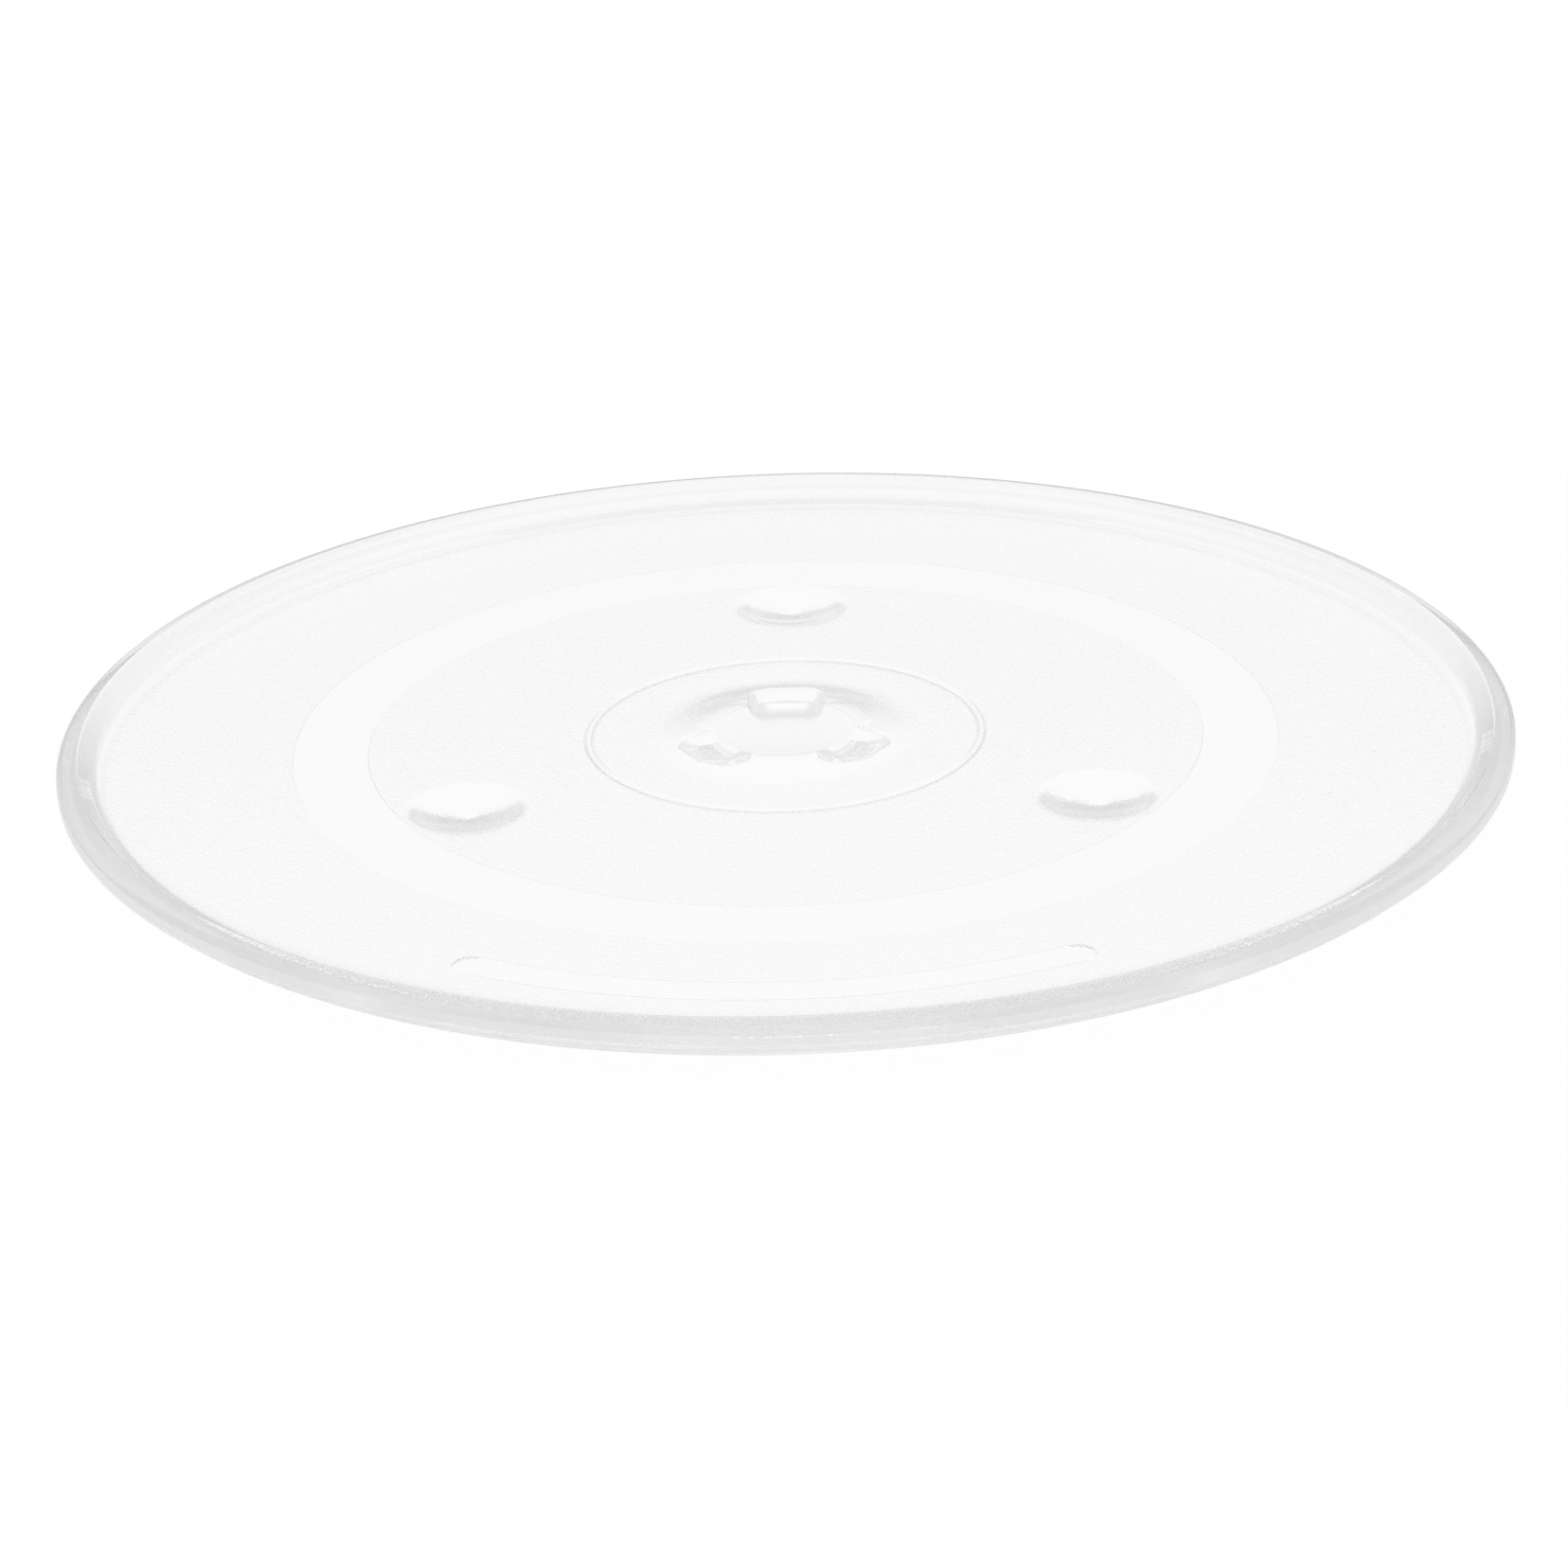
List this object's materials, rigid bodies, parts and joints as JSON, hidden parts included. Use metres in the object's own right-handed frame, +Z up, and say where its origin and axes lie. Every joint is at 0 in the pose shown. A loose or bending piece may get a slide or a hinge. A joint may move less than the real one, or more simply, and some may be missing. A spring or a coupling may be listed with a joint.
{
  "type": "microwave turntable plate",
  "caption": "Round clear pressed-glass turntable plate with a low raised edge, a smooth roller track, domed feet and a drive socket between lugs on its underside.",
  "frame": {"origin": "centre of the plate on the surface that its feet stand on", "axes": "+Z up out of the food side, +Y towards one of the feet"},
  "size_m": [0.284, 0.284, 0.0118],
  "materials": {
    "clear_glass": "clear pressed glass, smooth on top, fine stipple on the underside outside the roller track"
  },
  "bodies": {
    "root": {"turntable_plate": "clear_glass"}
  },
  "joints": []
}
